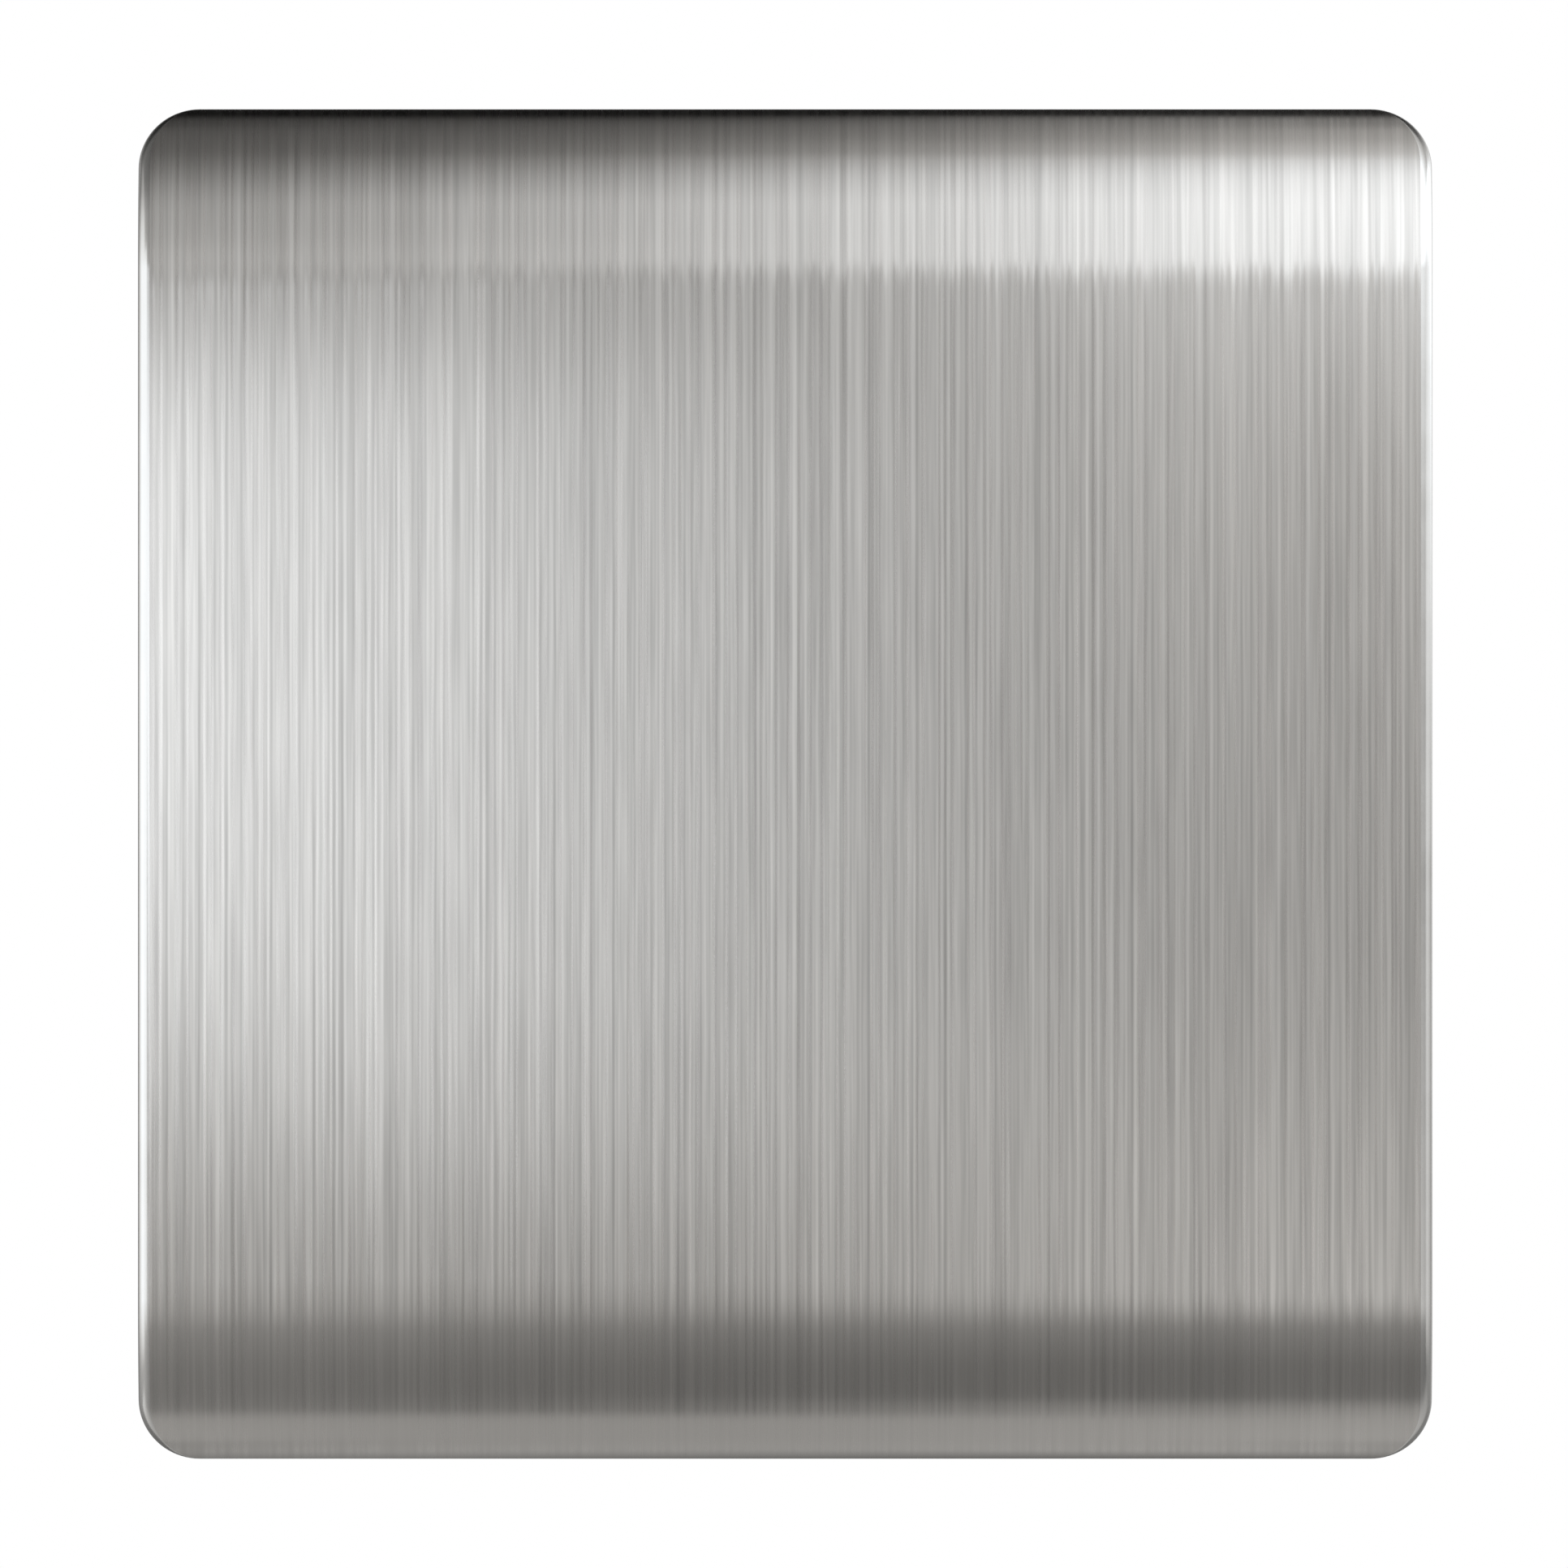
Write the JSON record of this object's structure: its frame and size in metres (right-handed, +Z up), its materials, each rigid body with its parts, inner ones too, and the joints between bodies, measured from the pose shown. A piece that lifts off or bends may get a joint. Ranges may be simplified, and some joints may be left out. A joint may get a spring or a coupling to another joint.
{
  "type": "blank plate",
  "caption": "Blank wall plate: a brushed steel cover with rolled top and bottom edges clips over a moulded frame that is screwed to a wall box.",
  "frame": {"origin": "on the wall plane, midway between the two fixing screws, which is also the middle of the plate", "axes": "+X to the right seen from the front, +Y into the wall along the screws, +Z up; the front faces -Y"},
  "size_m": [0.088, 0.032, 0.092],
  "materials": {
    "brushed_cover": "brushed from top to bottom, with a smooth polished rim",
    "frame_plastic": "finely textured moulding",
    "screw_steel": "bright plated steel"
  },
  "bodies": {
    "base": {"mounting_frame": "frame_plastic", "fixing_screws": "screw_steel"},
    "cover": {"front_cover": "brushed_cover"}
  },
  "joints": [
    {"name": "cover_pull", "type": "slide", "parent": "base", "child": "cover", "axis": [0, -1, 0], "range_m": [0, 0.03]}
  ]
}
